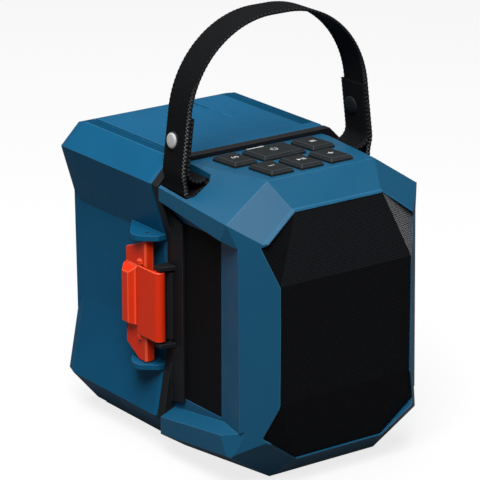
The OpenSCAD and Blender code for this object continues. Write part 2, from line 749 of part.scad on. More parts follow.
// Webbing arch in X and Z, set in by d: round top and legs that lean out down to z
module arch_2d(d, z) {
  lean_z = strap_mid_z + (strap_r - d) * sin(strap_lean);
  for (s = [-1, 1])
    translate([s * strap_flat / 2, strap_mid_z]) circle(r = strap_r - d, $fn = 96);
  translate([-strap_flat / 2, strap_mid_z]) square([strap_flat, strap_r - d]);
  polygon([[-leg_x(d, z), z], [leg_x(d, z), z], [leg_x(d, lean_z), lean_z], [-leg_x(d, lean_z), lean_z]]);
}

// Axis through one rivet, square to the leaning leg
module at_rivet() {
  translate([leg_x(0, rivet_z), strap_y + rivet_shift, rivet_z]) rotate([0, 90 - strap_lean, 0]) children();
}

module strap_arch() {
  foot = swing_z + 2;
  color("#17191c") difference() {
    union() {
      along_y(strap_y - strap_w / 2, strap_y + strap_w / 2) difference() {
        arch_2d(0, foot);
        arch_2d(strap_t, foot - 1);
      }
      both() along_y(strap_y - tail_w / 2, strap_y + tail_w / 2)
        polygon([[leg_x(strap_t - touch, foot), foot], [leg_x(strap_t - touch, tail_top), tail_top],
          [leg_x(2 * strap_t, tail_top), tail_top], [leg_x(2 * strap_t, foot), foot]]);
    }
    translate([-big / 2, strap_y, swing_z]) rotate([0, 90, 0]) cylinder(r = swing_r + swing_gap, h = big);
    translate([-big / 2, strap_y - strap_w, swing_z - big]) cube([big, 2 * strap_w, big]);
    both() at_rivet() translate([0, 0, -10]) cylinder(r = 2.05, h = 20);
  }
}

// One end of the strap: a loop round its rod, a run out to the leg and a round tab in the notch
module strap_end() {
  low_z = notch_floor + 2;
  inner = strap_half - 2 * strap_t;
  knee = swing_z + 5;
  tip = swing_z + swing_r + 1;
  run_in = leg_x(2 * strap_t, tip) - 1;
  y0 = strap_y - strap_w / 2;
  y1 = strap_y + strap_w / 2;
  difference() {
    union() {
      // Loop and run, narrowed where the swinging leg passes
      intersection() {
        union() {
          rod_y(rod_at, loop_r, y0, y1);
          along_y(y0, y1)
            polygon([[rod_at.x - 0.57 * loop_r, rod_at.y + 0.82 * loop_r],
              [rod_at.x + 0.57 * loop_r, rod_at.y - 0.82 * loop_r], [inner + 3.2, knee - 1.2], [inner + 3.2, knee + 4.4]]);
        }
        union() {
          translate([0, strap_y, swing_z]) rotate([0, 90, 0]) cylinder(r = swing_r - touch, h = big);
          translate([0, strap_y - strap_w, swing_z - big / 2]) cube([run_in, 2 * strap_w, big]);
        }
      }
      // Round tab in the notch
      intersection() {
        along_y(y0, y1)
          polygon([[inner, low_z], [inner, low_z + 3], [leg_x(2 * strap_t, knee), knee], [leg_x(2 * strap_t, tip), tip],
            [leg_x(0, tip), tip], [leg_x(0, knee), knee], [strap_half, low_z + 3], [strap_half, low_z]]);
        union() {
          translate([0, strap_y, swing_z]) rotate([0, 90, 0]) cylinder(r = swing_r, h = big);
          translate([0, strap_y - strap_w, swing_z - big]) cube([big, 2 * strap_w, big - 0.72 * swing_r]);
        }
      }
    }
    rod_y(rod_at, rod_r + 0.15, strap_y - strap_w, strap_y + strap_w);
  }
}
module strap_end_left() { color("#15171a") mirror([1, 0, 0]) strap_end(); }
module strap_end_right() { color("#15171a") strap_end(); }

module strap_rods() {
  color("#232528") both() rod_y(rod_at, rod_r, notch_front - 2, y_frame);
}

module strap_rivets() {
  cap = 1.6;
  r = rivet_r * 0.82;
  low = washer_t;
  color("#c8c8ca") both() at_rivet()
    rotate_extrude() polygon([[0, -2 * strap_t - 0.6], [2, -2 * strap_t - 0.6], [2, low], [r, low],
      [r, low + cap * 0.4], [r * 0.8, low + cap * 0.85], [r * 0.4, low + cap], [0, low + cap]]);
}

// Rings under the caps and domed washers on the inner side of the strap
module rivet_washers() {
  color("#18191b") both() at_rivet() rotate_extrude() {
    polygon([[2, 0], [rivet_r, 0], [rivet_r - 0.3, washer_t], [2, washer_t]]);
    translate([0, -2 * strap_t])
      polygon([[2, 0], [rivet_r, 0], [rivet_r, -0.6], [rivet_r * 0.75, -1.5], [rivet_r * 0.4, -1.9], [0, -2],
        [0, -0.6], [2, -0.6]]);
  }
}

// One key: bevelled cap above the deck, shaft through it and a foot under it
module deck_key(i) {
  w = key_list[i][3];
  color("#2b2e30") on_deck() at_key(i) {
    key_block(w, 0, key_base, key_h - key_bevel);
    key_block(w, 1.4, key_base, key_base + key_foot);
    hull() {
      key_block(w, 0, key_h - key_bevel - touch, key_h - key_bevel);
      key_block(w, -key_bevel, key_h - touch, key_h);
    }
  }
}
module key_pair() { deck_key(0); }
module key_power() { deck_key(1); }
module key_mode() { deck_key(2); }
module key_volume_down() { deck_key(3); }
module key_play() { deck_key(4); }
module key_volume_up() { deck_key(5); }

key_board_w = deck_front_w + 12;
module key_board() {
  color("#1f4d2b") on_deck() translate([-key_board_w / 2, 30.5 - key_board_d, board_top - board_t])
    cube([key_board_w, key_board_d, board_t]);
}

module key_switches() {
  color("#8a8d90") on_deck() for (i = [0 : len(key_list) - 1])
    at_key(i) {
      translate([-3, -3, board_top]) cube([6, 6, switch_h * 0.6]);
      translate([0, 0, board_top]) cylinder(r = 1.7, h = switch_h);
    }
}

module main_board() {
  y1 = y_frame - 8;
  color("#20502e") {
    translate([-waist + 18, y1 - board_t, foot_h + 26]) cube([2 * (waist - 18), board_t, main_board_h]);
    for (x = [-30, -8, 16])
      translate([x, y1 - board_t - 6, foot_h + 40]) cube([14, 6, 14]);
    for (x = [-24, -4, 16, 30])
      rod_y([x, foot_h + 18 + main_board_h - 10], 5, y1 - board_t - 9, y1 - board_t);
  }
}

// Round parts of the woofer turn about an axis along Y through the housing's middle
module woofer_axis() {
  translate([0, baffle_y, z_mid]) rotate([90, 0, 0]) children();
}
basket_d = 34;
magnet_r = 34;
surround_w = 7;
module baffle() {
  color("#26282b") difference() {
    intersection() {
      gem(wall + seat, wall + seat);
      translate([-body_w, baffle_y, 0]) cube([2 * body_w, baffle_t, 2 * body_h]);
    }
    both() recess(wall + seat);
    woofer_axis() translate([0, 0, -baffle_t - 1]) cylinder(r = woofer_r, h = baffle_t + 2);
    baffle_holes(screw_r + 0.05);
  }
}

module baffle_holes(r) {
  woofer_axis() for (a = [45 : 90 : 315])
    rotate([0, 0, a]) translate([woofer_r + 4, 0, -baffle_t - 1]) cylinder(r = r, h = baffle_t + 6);
}

module woofer_basket() {
  color("#303336") difference() {
    woofer_axis() rotate_extrude() polygon([[woofer_r - 5, 0], [woofer_r + 7, 0], [woofer_r + 7, 2.5],
      [woofer_r - 5, 2.5]]);
    baffle_holes(screw_r + 0.05);
  }
  color("#303336") woofer_axis() {
    rotate_extrude() polygon([[woofer_r - 0.5, 0], [woofer_r - 5, 0], [20, -basket_d], [magnet_r - 8, -basket_d]]);
  }
}

module woofer_surround() {
  r1 = woofer_r - 0.5;
  r0 = r1 - surround_w;
  color("#1b1c1e") woofer_axis() translate([0, 0, 2.5]) rotate_extrude() intersection() {
    translate([(r0 + r1) / 2, 0]) difference() {
      circle(r = surround_w / 2 + 1);
      circle(r = surround_w / 2 - 0.6);
    }
    translate([0, 0]) square([2 * woofer_r, surround_w]);
  }
}

module woofer_cone() {
  r0 = woofer_r - surround_w - 1.5;
  color("#222427") woofer_axis() rotate_extrude() polygon([[13, -18], [r0 + 1.5, 1.3], [r0 + 1.5, 2.5], [r0 - 1, 2.5],
    [12, -16.6]]);
}

module woofer_cap() {
  color("#2a2c2f") woofer_axis() rotate_extrude() intersection() {
    translate([0, -24]) difference() {
      circle(r = 16);
      circle(r = 14.8);
    }
    polygon([[0, -17.5], [11.9, -17.5], [11.9, -16.65], [14, -14.69], [14, 5], [0, 5]]);
  }
}

module woofer_magnet() {
  color("#5a5c60") woofer_axis() {
    translate([0, 0, -basket_d - 16]) cylinder(r = magnet_r, h = 16);
    translate([0, 0, -basket_d]) cylinder(r = 11, h = basket_d - 19);
  }
}

// Racetrack outline in Y and Z
module racetrack(w, h) {
  square([w, h - w], center = true);
  for (s = [-1, 1])
    translate([0, s * (h - w) / 2]) circle(d = w);
}

module side_radiators() {
  yc = (grille_y0 + grille_y1) / 2;
  w = grille_y1 - grille_y0;
  h = grille_z1 - grille_z0;
  x1 = waist - wall;
  color("#1d1f21") both() {
    along_x(x1 - 2, x1) difference() {
      translate([yc, z_mid]) square([w, h], center = true);
      translate([yc, z_mid]) racetrack(w - 9, h - 12);
    }
    along_x(x1 - 1.2, x1 - 0.2) translate([yc, z_mid]) racetrack(w - 9 + touch, h - 12 + touch);
    along_x(x1 - 0.2, x1 + 1) translate([yc, z_mid]) racetrack(w - 18, h - 22);
  }
}

dock_y = y_frame + bulkhead_t;
dock_d = 9;
dock_z = foot_h + 0.47 * body_h;
module battery_dock() {
  color("#1b1c1e") translate([0, 0, dock_z]) difference() {
    translate([-30, dock_y, -45]) cube([60, dock_d, 90]);
    for (s = [-1, 1])
      translate([s * 27.5 - 3, dock_y + 3, -38]) cube([6, 3, 90]);
    translate([-16, dock_y + 4, -46]) cube([32, dock_d, 60]);
  }
}

module battery_terminals() {
  color("#b89a55") for (x = [-11, 0, 11])
    translate([x - 0.5, dock_y + 4, dock_z - 30]) cube([1, 3.5, 24]);
}

module battery_pack() {
  y0 = dock_y + dock_d;
  z0 = dock_z - pack_h / 2;
  color("#222427") {
    along_x(-pack_w / 2, pack_w / 2)
      polygon([[y0, z0 + 4], [y0 + 6, z0], [y0 + pack_d - 12, z0], [y0 + pack_d, z0 + 14],
        [y0 + pack_d, z0 + pack_h - 8], [y0 + pack_d - 8, z0 + pack_h], [y0 + 4, z0 + pack_h], [y0, z0 + pack_h - 4]]);
    for (s = [-1, 1])
      along_x(s * (pack_w / 2 + 1) - 1, s * (pack_w / 2 + 1) + 1)
        translate([y0 + pack_d - 30, z0 + pack_h - 34]) square([16, 22]);
  }
}

module front_feet() {
  color("#141516") both() translate([24, deck_front.y + 6, 0]) cube([14, 50, foot_h]);
}

module rear_feet() {
  color("#141516") both() translate([cover_base_w / 2 - 16, y_cover + 14, 0]) cube([14, 78, foot_h]);
}

module frame_screws() {
  y0 = y_frame + bulkhead_t;
  color("#9a9da0") boss_places() translate([0, y0, 0]) rotate([90, 0, 0]) {
    cylinder(r = screw_r - 0.02, h = bulkhead_t + screw_depth - 3);
    translate([0, 0, -2]) cylinder(r = screw_head_r, h = 2);
  }
}

module baffle_screws() {
  color("#9a9da0") woofer_axis() for (a = [45 : 90 : 315])
    rotate([0, 0, a]) translate([woofer_r + 4, 0, 0]) {
      translate([0, 0, -baffle_t]) cylinder(r = screw_r, h = baffle_t + 2.5);
      translate([0, 0, 2.5]) cylinder(r = 2.6, h = 1.6);
    }
}

front_housing();
front_grille();
side_grille_left();
side_grille_right();
mid_frame();
cover_seal();
rear_cover();
hinge_pin();
latch_catch();
latch_handle();
latch_link();
latch_pin();
link_pin();
strap_arch();
strap_end_left();
strap_end_right();
strap_rods();
strap_rivets();
rivet_washers();
key_pair();
key_power();
key_mode();
key_volume_down();
key_play();
key_volume_up();
key_board();
key_switches();
main_board();
baffle();
woofer_basket();
woofer_surround();
woofer_cone();
woofer_cap();
woofer_magnet();
side_radiators();
battery_dock();
battery_terminals();
battery_pack();
front_feet();
rear_feet();
frame_screws();
baffle_screws();
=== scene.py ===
import math
import bmesh
import bpy
from mathutils import Matrix, Vector


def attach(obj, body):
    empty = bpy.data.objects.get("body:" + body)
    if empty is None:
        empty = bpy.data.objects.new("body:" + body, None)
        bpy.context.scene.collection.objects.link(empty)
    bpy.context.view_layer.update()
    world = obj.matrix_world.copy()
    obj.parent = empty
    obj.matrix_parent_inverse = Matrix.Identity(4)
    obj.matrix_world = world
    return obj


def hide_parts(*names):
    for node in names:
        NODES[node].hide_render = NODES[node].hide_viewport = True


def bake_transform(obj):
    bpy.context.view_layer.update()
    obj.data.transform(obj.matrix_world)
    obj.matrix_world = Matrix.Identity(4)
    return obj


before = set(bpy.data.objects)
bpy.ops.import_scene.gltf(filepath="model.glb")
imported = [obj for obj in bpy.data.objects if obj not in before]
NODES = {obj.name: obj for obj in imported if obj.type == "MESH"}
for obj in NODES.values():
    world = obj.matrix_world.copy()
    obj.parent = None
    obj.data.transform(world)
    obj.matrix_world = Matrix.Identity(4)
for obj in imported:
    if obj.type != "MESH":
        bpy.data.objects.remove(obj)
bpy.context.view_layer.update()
MM = 0.001

# Radius of the shells' moulded edges, which the shader draws
EDGE_RADIUS = 0.6 * MM
# Two channels along the cover's top: inner x, outer x and floor z in millimetres, and the reach of the floor's
# painted shade
COVER_GROOVES = (50.4, 60.4, 196.3)
GROOVE_SHADE_REACH = 0.4 * MM
# Selvedge of the strap in millimetres: length of one step along the band and depth of its notches
WEB_STEP, WEB_NOTCH = 0.75, 0.28
# Sewing thread in millimetres: inset from the edge, half a zigzag along the band, rise of a zigzag for each of these
SEAM_INSET, SEAM_HALF, SEAM_RISE = 0.4, 1.2, 1.9


# Materials

class Graph:
    """A material's node tree with short calls to add and join nodes."""

    def __init__(self, name):
        self.mat = bpy.data.materials.new(name)
        self.mat.use_nodes = True
        self.tree = self.mat.node_tree
        self.bsdf = self.tree.nodes["Principled BSDF"]

    def add(self, kind, inputs=None, **props):
        n = self.tree.nodes.new(kind)
        for key, value in props.items():
            setattr(n, key, value)
        for key, value in (inputs or {}).items():
            self.put(n.inputs[key], value)
        return n

    def put(self, socket, value):
        if isinstance(value, bpy.types.NodeSocket):
            self.tree.links.new(value, socket)
        else:
            socket.default_value = value

    def math(self, op, a, b=0.0):
        return self.add("ShaderNodeMath", {0: a, 1: b}, operation=op).outputs[0]

    def vector(self, op, a, b=(0.0, 0.0, 0.0)):
        n = self.add("ShaderNodeVectorMath", {0: a, 1: b}, operation=op)
        return n.outputs["Value"] if op == "LENGTH" else n.outputs[0]

    def noise(self, coord, scale, detail=3.0, rough=0.55):
        return self.add("ShaderNodeTexNoise", {"Vector": coord, "Scale": scale, "Detail": detail,
                                               "Roughness": rough}).outputs["Fac"]

    def span(self, value, a, b, lo, hi):
        return self.add("ShaderNodeMapRange", {"Value": value, "From Min": a, "From Max": b,
                                               "To Min": lo, "To Max": hi}).outputs["Result"]

    def blend(self, fac, a, b):
        n = self.add("ShaderNodeMix", data_type="RGBA")
        self.put(n.inputs[0], fac)
        self.put(n.inputs[6], a)
        self.put(n.inputs[7], b)
        return n.outputs[2]

    def coords(self, which="Object"):
        return self.add("ShaderNodeTexCoord").outputs[which]

    def bump(self, height, strength, distance, normal=None):
        n = self.add("ShaderNodeBump", {"Height": height, "Strength": strength, "Distance": distance})
        if normal is not None:
            self.put(n.inputs["Normal"], normal)
        return n.outputs["Normal"]

    def finish(self, color=None, rough=None, normal=None, base=None):
        if base is not None:
            self.bsdf.inputs["Base Color"].default_value = base
        if color is not None:
            self.put(self.bsdf.inputs["Base Color"], color)
        if rough is not None:
            self.put(self.bsdf.inputs["Roughness"], rough)
        if normal is not None:
            self.put(self.bsdf.inputs["Normal"], normal)
        return self.mat


def rgb(hexa):
    """Linear colour of a screen colour written as six hex digits."""
    out = []
    for i in (0, 2, 4):
        c = int(hexa[i:i + 2], 16) / 255
        out.append(c / 12.92 if c <= 0.04045 else ((c + 0.055) / 1.055) ** 2.4)
    return (*out, 1.0)


def shade(c, k):
    return (c[0] * k, c[1] * k, c[2] * k, 1.0)


def plastic(name, hexa, rough=0.45, grain=0.12, vary=0.10, specular=0.4, edge_highlight=None, grooves=None):
    """Moulded plastic: fine spark-eroded grain, faint tone drift and handling marks in the gloss.

    edge_highlight is the paler colour of a painted highlight on the slightly rounded edges. grooves is (inner x,
    outer x, floor z) in millimetres of two channels along the top, whose floor is painted darker and with little
    sheen, a painted shade."""
    g = Graph(name)
    base = rgb(hexa)
    at = g.coords()
    drift = g.noise(at, 22.0, 2.0)
    fine = g.noise(at, 1500.0, 2.0)
    tone = g.math("ADD", g.math("MULTIPLY", drift, 0.7), g.math("MULTIPLY", fine, 0.3))
    color = g.blend(g.span(tone, 0.3, 0.7, 0.0, 1.0), shade(base, 1 - vary), shade(base, 1 + vary))
    g.bsdf.inputs["Specular IOR Level"].default_value = specular
    # Painted shade: the channels' floors are drawn darker and almost without specular sheen
    if grooves:
        inner, outer, floor_z = (m * MM for m in grooves)
        place = g.add("ShaderNodeSeparateXYZ", {"Vector": at})
        off = g.math("ABSOLUTE", place.outputs["X"])
        wide = g.math("MULTIPLY", g.math("GREATER_THAN", off, inner), g.math("LESS_THAN", off, outer))
        deep = g.math("COMPARE", place.outputs["Z"], floor_z)
        deep.node.inputs[2].default_value = GROOVE_SHADE_REACH
        painted_groove_shade = g.math("MULTIPLY", wide, deep)
        color = g.blend(painted_groove_shade, color, shade(base, 0.55))
        g.put(g.bsdf.inputs["Specular IOR Level"], g.span(painted_groove_shade, 0.0, 1.0, specular, 0.02))
    smears = g.noise(at, 60.0, 4.0, 0.65)
    gloss = g.span(smears, 0.3, 0.75, rough - 0.06, rough + 0.08)
    round_off = None
    # Painted highlight: a paler colour along the rounded edges, found from the Bevel node's normal
    if edge_highlight:
        round_off = g.add("ShaderNodeBevel", {"Radius": EDGE_RADIUS}, samples=6).outputs["Normal"]
        flat = g.add("ShaderNodeNewGeometry").outputs["Normal"]
        turn = g.add("ShaderNodeVectorMath", {0: round_off, 1: flat}, operation="DOT_PRODUCT")
        edge = g.span(turn.outputs["Value"], 0.995, 0.94, 0.0, 0.75)
        uneven = g.span(smears, 0.25, 0.6, 0.5, 1.0)
        color = g.blend(g.math("MULTIPLY", edge, uneven), color, rgb(edge_highlight))
    return g.finish(color, gloss, g.bump(fine, grain, 0.00015, round_off), base)


def perforated(name, across, hexa, hole, corner_reflection=None, pitch=1.5, radius=0.3):
    """Perforated sheet: staggered round holes, laid out in the sheet's own two axes.

    pitch is in millimetres and radius is a share of it. corner_reflection is the grey of a painted reflection on the
    upper right facet; the upper facet is painted a little lighter than the flat and the upper left facet darker, as
    painted light and shade."""
    g = Graph(name)
    base = rgb(hexa)
    at = g.coords()
    k = 1000.0 / pitch
    flat = (k, 0.0, k / 1.732) if across == "x" else (0.0, k, k / 1.732)
    half = (0.5, 0.0, 0.5) if across == "x" else (0.0, 0.5, 0.5)
    back = (1.0, 0.0, 1.732) if across == "x" else (0.0, 1.0, 1.732)

    def from_hole(cell):
        off = g.vector("SUBTRACT", g.vector("FRACTION", cell), half)
        return g.vector("LENGTH", g.vector("MULTIPLY", off, back))

    cells = g.vector("MULTIPLY", at, flat)
    near = g.math("MINIMUM", from_hole(cells), from_hole(g.vector("ADD", cells, half)))
    solid = g.span(near, radius - 0.06, radius + 0.06, 0.0, 1.0)
    worn = g.noise(at, 180.0, 3.0)
    metal = g.blend(worn, shade(base, 0.8), shade(base, 1.25))
    # Painted light and shade by facing: upper facet lighter, upper left facet darker, upper right facet a speckled
    # grey painted reflection
    if corner_reflection:
        facing = g.add("ShaderNodeSeparateXYZ", {"Vector": g.coords("Normal")})
        rising = g.span(facing.outputs["Z"], 0.08, 0.14, 0.0, 1.0)
        right = g.span(facing.outputs["X"], 0.12, 0.18, 0.0, 1.0)
        left = g.span(facing.outputs["X"], -0.12, -0.18, 0.0, 1.0)
        metal = g.blend(rising, metal, shade(base, 1.9))
        metal = g.blend(g.math("MULTIPLY", left, rising), metal, shade(base, 0.6))
        reflection_speck = g.blend(g.noise(at, 900.0, 2.0), shade(rgb(corner_reflection), 0.6), shade(rgb(corner_reflection), 1.4))
        metal = g.blend(g.math("MULTIPLY", right, rising), metal, reflection_speck)
    color = g.blend(solid, rgb(hole), metal)
    g.bsdf.inputs["Specular IOR Level"].default_value = 0.1
    return g.finish(color, g.span(solid, 0.0, 1.0, 0.95, 0.5), g.bump(solid, 0.6, 0.0004), base)


def rubber(name, hexa, rough=0.62):
    g = Graph(name)
    base = rgb(hexa)
    at = g.coords()
    dust = g.noise(at, 240.0, 5.0, 0.7)
    fine = g.noise(at, 2200.0, 2.0)
    color = g.blend(g.span(dust, 0.4, 0.75, 0.0, 1.0), shade(base, 0.9), shade(base, 1.3))
    g.bsdf.inputs["Specular IOR Level"].default_value = 0.15
    gloss = g.span(dust, 0.3, 0.8, rough - 0.08, rough + 0.1)
    return g.finish(color, gloss, g.bump(fine, 0.15, 0.0002), base)


def metal(name, hexa, rough=0.32, brushed=True, bare=1.0):
    g = Graph(name)
    base = rgb(hexa)
    at = g.coords()
    lines = g.vector("MULTIPLY", at, (2600.0, 160.0, 160.0) if brushed else (420.0, 420.0, 420.0))
    streak = g.noise(lines, 1.0, 3.0)
    color = g.blend(streak, shade(base, 0.85), shade(base, 1.1))
    g.bsdf.inputs["Metallic"].default_value = bare
    gloss = g.span(streak, 0.2, 0.8, rough - 0.08, rough + 0.1)
    return g.finish(color, gloss, g.bump(streak, 0.05, 0.0001), base)


def webbing(name, hexa, half, thread, sewn=None, border=False):
    """Woven strap in the ribbon's own UV in millimetres: chevron ribs, braided selvedges and sewing thread.

    sewn is (length, start, reach): a zigzag seam runs along the front selvedge at both ends, from start on, and
    fades out about reach. border draws a row of short stitches along each side."""
    g = Graph(name)
    base = rgb(hexa)
    part = g.add("ShaderNodeSeparateXYZ", {"Vector": g.coords("UV")})
    u, v = part.outputs["X"], part.outputs["Y"]
    zig = g.math("PINGPONG", u, 3.0)
    rib = g.math("SINE", g.math("MULTIPLY", g.math("ADD", v, g.math("MULTIPLY", zig, 0.6)), 4.2))
    yarn = g.math("SINE", g.math("MULTIPLY", u, 8.0))
    weave = g.math("ADD", g.math("MULTIPLY", rib, 0.6), g.math("MULTIPLY", yarn, 0.4))
    fuzz = g.noise(g.coords(), 1800.0, 3.0)
    raised = g.span(weave, -1.0, 1.0, 0.0, 1.0)
    tone = g.math("ADD", g.math("MULTIPLY", raised, 0.6), g.math("MULTIPLY", fuzz, 0.4))
    color = g.blend(g.span(tone, 0.25, 0.8, 0.0, 1.0), shade(base, 0.7), shade(base, 1.5))
    edge = g.span(g.math("ABSOLUTE", u), half - 1.0, half - 0.6, 0.0, 1.0)
    tick = g.span(g.math("SINE", g.math("MULTIPLY", v, 2.094)), 0.1, -0.5, 0.0, 1.0)
    braid = g.math("MULTIPLY", edge, tick)
    color = g.blend(g.math("MULTIPLY", braid, 0.3), color, rgb("4a4c50"))
    height = g.math("ADD", weave, g.math("MULTIPLY", braid, 0.6))
    if sewn:
        length, start, reach = sewn
        from_end = g.math("MINIMUM", v, g.math("SUBTRACT", length, v))
        fade = g.span(from_end, reach - 6.0, reach + 24.0, 1.0, 0.0)
        low = g.math("MULTIPLY", fade, g.span(from_end, start, start + 0.5, 0.0, 1.0))
        wave = g.math("MULTIPLY", g.math("PINGPONG", v, SEAM_HALF), SEAM_RISE)
        off = g.math("ABSOLUTE", g.math("SUBTRACT", g.math("ADD", u, half - SEAM_INSET), wave))
        line = g.math("MULTIPLY", g.span(off, 0.2, 0.45, 1.0, 0.0), low)
        color = g.blend(line, color, rgb(thread))
        height = g.math("ADD", height, line)
    if border:
        off = g.math("ABSOLUTE", g.math("SUBTRACT", g.math("ABSOLUTE", u), half - 2.2))
        side = g.span(off, 0.25, 0.45, 1.0, 0.0)
        dash = g.span(g.math("SINE", g.math("MULTIPLY", v, 3.1)), 0.0, 0.4, 0.0, 1.0)
        line = g.math("MULTIPLY", side, dash)
        color = g.blend(g.math("MULTIPLY", line, 0.8), color, rgb(thread))
        height = g.math("ADD", height, line)
    g.bsdf.inputs["Specular IOR Level"].default_value = 0.1
    return g.finish(color, g.span(fuzz, 0.2, 0.8, 0.8, 0.95), g.bump(height, 0.45, 0.0004), base)


def board(name, hexa):
    g = Graph(name)
    base = rgb(hexa)
    at = g.coords()
    grid = g.add("ShaderNodeTexBrick", {"Vector": at, "Scale": 160.0, "Color1": shade(base, 1.0),
                                        "Color2": shade(base, 1.25), "Mortar": shade(base, 0.6)})
    return g.finish(grid.outputs["Color"], 0.35, None, base)


def paint(name, hexa, rough=0.5):
    """Printed white marks with slightly uneven ink."""
    g = Graph(name)
    base = rgb(hexa)
    at = g.coords()
    ink = g.noise(at, 900.0, 3.0)
    gloss = g.span(ink, 0.2, 0.8, rough - 0.1, rough + 0.1)
    return g.finish(g.blend(ink, shade(base, 0.85), base), gloss, None, base)


# The paler last colour of the shells and the black plastic is a painted highlight along their edges
BLUE = plastic("shell_blue", "145678", 0.4, 0.10, 0.05, 0.3, "4584aa")
COVER = plastic("cover_blue", "10587e", 0.44, 0.10, 0.05, 0.1, "4584aa", COVER_GROOVES)
ORANGE = plastic("latch_orange", "f2360f", 0.36, 0.06, 0.04, 0.3)
BLACK = plastic("black_plastic", "1a1b1e", 0.5, 0.14, 0.15, 0.2, "3c3f43")
# 77777a is the grey of the painted reflection on the front grille's upper right facet
GRILLE = perforated("grille_front", "x", "141518", "030304", "77777a")
GRILLE_SIDE = perforated("grille_side", "y", "121316", "030304")
KEY = rubber("key_rubber", "212426")
FOOT = rubber("foot_rubber", "131415")
STEEL = metal("steel", "a9abae")
RIVET = metal("rivet_steel", "d2d2d4", 0.45, False, 0.3)
BOARD = board("board_green", "1d5a33")
CONE = rubber("cone_black", "1b1c1e", 0.7)
BRASS = metal("contact_brass", "c19a4e")
MARK = paint("key_marks", "d9dcde")
# Paler materials for the bevelled edges of the latch and the keys: a painted highlight
ORANGE_EDGE_HIGHLIGHT = plastic("latch_edge_highlight", "ff5c38", 0.3, 0.05, 0.06, 0.5)
KEY_EDGE_HIGHLIGHT = plastic("key_edge_highlight", "2e3235", 0.5, 0.10, 0.15, 0.3)


def wear(names, material, bevel=0.5, limit=14.0, segments=2, edge_highlight=None):
    """Gives CAD nodes a material and the small edge radius that moulding leaves, in millimetres.

    edge_highlight is a paler material for the bevelled edges, a painted highlight."""
    for n in names:
        o = NODES[n]
        if not o.material_slots:
            o.data.materials.append(material)
        for s in o.material_slots:
            s.material = material
        o.data.polygons.foreach_set("use_smooth", [True] * len(o.data.polygons))
        if bevel:
            w = o.modifiers.new("weld", "WELD")
            w.merge_threshold = 0.00001
            if edge_highlight:
                f = o.modifiers.new("flat", "DECIMATE")
                f.decimate_type = "DISSOLVE"
                f.angle_limit = math.radians(0.6)
            b = o.modifiers.new("edge", "BEVEL")
            b.width = bevel * MM
            b.segments = segments
            b.limit_method = "ANGLE"
            b.angle_limit = math.radians(limit)
            b.use_clamp_overlap = edge_highlight is None
            # The bevel's faces take the paler material, a painted highlight along the edges
            if edge_highlight:
                o.data.materials.append(edge_highlight)
                b.material = len(o.material_slots) - 1
            b.miter_outer = "MITER_ARC"
            k = o.modifiers.new("even", "WEIGHTED_NORMAL")
            k.weight = 100
            k.keep_sharp = False


wear(["front_housing"], BLUE, 0.7, 14, 3)
wear(["rear_cover"], COVER, 0.7, 12, 3)
wear(["latch_handle", "latch_link"], ORANGE, 0.6, 20, 3, ORANGE_EDGE_HIGHLIGHT)
wear(["mid_frame", "latch_catch"], BLACK, 0.4, 20)
wear(["strap_rods", "rivet_washers", "baffle", "woofer_basket", "battery_dock", "battery_pack"],
     BLACK, 0.3, 30)
wear(["front_grille"], GRILLE, 0.4, 10)
wear(["side_grille_left", "side_grille_right"], GRILLE_SIDE, 0.3, 20)
KEYS = ["key_pair", "key_power", "key_mode", "key_volume_down", "key_play", "key_volume_up"]
wear(KEYS, KEY, 0.4, 15, 3, KEY_EDGE_HIGHLIGHT)
wear(["front_feet", "rear_feet", "cover_seal", "woofer_surround"], FOOT, 0.4, 30)
wear(["hinge_pin", "latch_pin", "link_pin", "frame_screws", "baffle_screws", "woofer_magnet", "key_switches"],
     STEEL, 0.15, 40)
wear(["strap_rivets"], RIVET, 0.25, 25, 3)
wear(["key_board", "main_board"], BOARD, 0.2, 40)
wear(["woofer_cone", "woofer_cap", "side_radiators"], CONE, 0.2, 40)
wear(["battery_terminals"], BRASS, 0.1, 40)


# Pieces built here

def mesh_object(name, verts, faces, material, uvs=None):
    mesh = bpy.data.meshes.new(name)
    mesh.from_pydata([tuple(v) for v in verts], [], faces)
    if uvs is not None:
        layer = mesh.uv_layers.new(name="UVMap")
        for poly in mesh.polygons:
            for li in poly.loop_indices:
                layer.data[li].uv = uvs[mesh.loops[li].vertex_index]
    mesh.materials.append(material)
    mesh.update()
    o = bpy.data.objects.new(name, mesh)
    bpy.context.scene.collection.objects.link(o)
    return o


def even_steps(path, step):
    """The same path with points about step apart."""
    out = [path[0]]
    rest = step
    for a, b in zip(path, path[1:]):
        d = math.dist(a, b)
        at = rest
        while at <= d:
            out.append((a[0] + (b[0] - a[0]) * at / d, a[1] + (b[1] - a[1]) * at / d))
            at += step
        rest = at - d
    return out


def run_of(path):
    return sum(math.dist(a, b) for a, b in zip(path, path[1:]))


